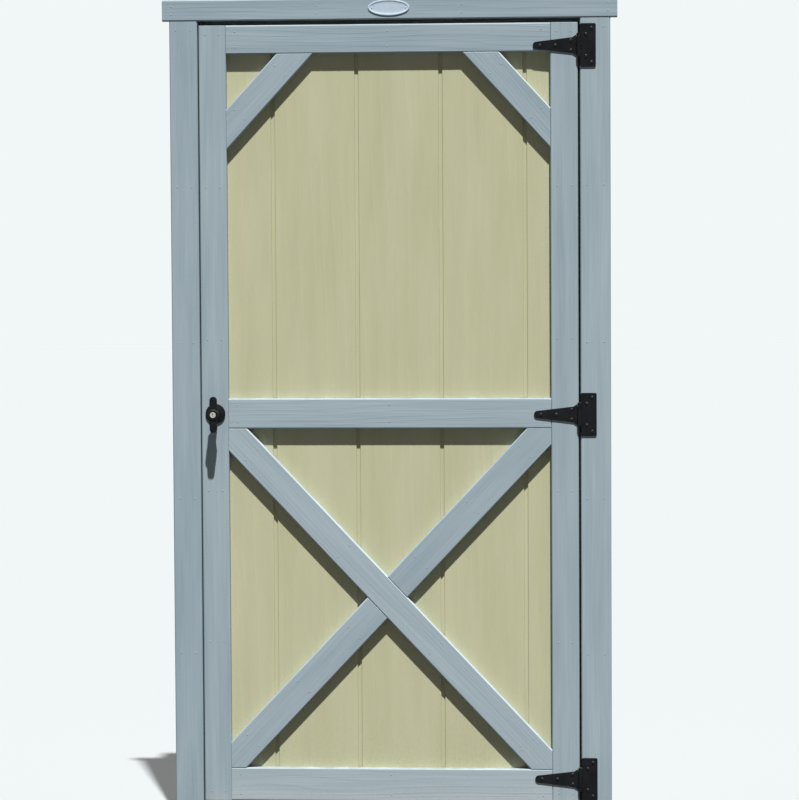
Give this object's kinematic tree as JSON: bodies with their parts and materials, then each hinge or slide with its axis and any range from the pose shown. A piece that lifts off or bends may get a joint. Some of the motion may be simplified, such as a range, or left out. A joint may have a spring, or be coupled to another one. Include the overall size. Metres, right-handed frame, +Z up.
{
  "type": "entry door with frame",
  "caption": "Ledged and cross-braced wooden shed door with grooved siding, hung on strap hinges in its cased frame, with a keyed T handle and a turning latch cam.",
  "frame": {"origin": "on the underside of the sill, below the middle of the leaf, in the plane of the wall face that the casings lie on", "axes": "+X across the door from the lock side to the hinge side, +Y through the wall from outside to inside, +Z up"},
  "size_m": [1.0974, 0.173, 1.984],
  "materials": {
    "trim_paint": "satin blue-grey paint on wood",
    "siding_paint": "satin khaki-cream paint on grooved wood siding",
    "bare_pine": "planed softwood, unpainted",
    "sill_wood": "weathered treated softwood",
    "black_iron": "satin black powder coat",
    "black_screws": "black coated steel",
    "bright_steel": "bright plated steel"
  },
  "bodies": {
    "frame": {"strike_jamb": "trim_paint", "hinge_jamb": "trim_paint", "head_jamb": "trim_paint", "sill": "sill_wood", "strike_casing": "trim_paint", "hinge_casing": "trim_paint", "head_casing": "trim_paint", "strike_stop": "trim_paint", "hinge_stop": "trim_paint", "head_stop": "trim_paint", "top_hinge_plate": "black_iron", "top_hinge_pin": "black_iron", "top_plate_screws": "black_screws", "middle_hinge_plate": "black_iron", "middle_hinge_pin": "black_iron", "middle_plate_screws": "black_screws", "bottom_hinge_plate": "black_iron", "bottom_hinge_pin": "black_iron", "bottom_plate_screws": "black_screws"},
    "leaf": {"strike_stile": "trim_paint", "hinge_stile": "trim_paint", "top_rail": "trim_paint", "lock_rail": "trim_paint", "bottom_rail": "trim_paint", "left_corner_brace": "trim_paint", "right_corner_brace": "trim_paint", "cross_brace": "trim_paint", "cross_brace_upper": "trim_paint", "cross_brace_lower": "trim_paint", "siding_panel": "siding_paint", "back_strike_stile": "bare_pine", "back_hinge_stile": "bare_pine", "back_top_rail": "bare_pine", "back_lock_rail": "bare_pine", "back_bottom_rail": "bare_pine", "top_hinge_strap": "black_iron", "middle_hinge_strap": "black_iron", "bottom_hinge_strap": "black_iron", "lock_rose": "black_iron", "inner_plate": "black_iron", "top_strap_screws": "black_screws", "middle_strap_screws": "black_screws", "bottom_strap_screws": "black_screws", "rose_screws": "black_screws", "inner_plate_screws": "black_screws"},
    "handle": {"lever": "black_iron", "spindle": "bright_steel", "latch_cam": "bright_steel", "cam_set_screw": "black_screws"},
    "key": {"key_plug": "bright_steel"}
  },
  "joints": [
    {"name": "leaf_swing", "type": "hinge", "parent": "frame", "child": "leaf", "pos_m": [0.4597, -0.02455, 0.981], "axis": [0, 0, 1], "range_deg": [0, 175]},
    {"name": "handle_turn", "type": "hinge", "parent": "leaf", "child": "handle", "pos_m": [-0.4232, -0.019, 0.984], "axis": [0, -1, 0], "range_deg": [0, 90]},
    {"name": "key_turn", "type": "hinge", "parent": "handle", "child": "key", "pos_m": [-0.4232, -0.072, 0.984], "axis": [0, -1, 0], "range_deg": [0, 90]}
  ]
}
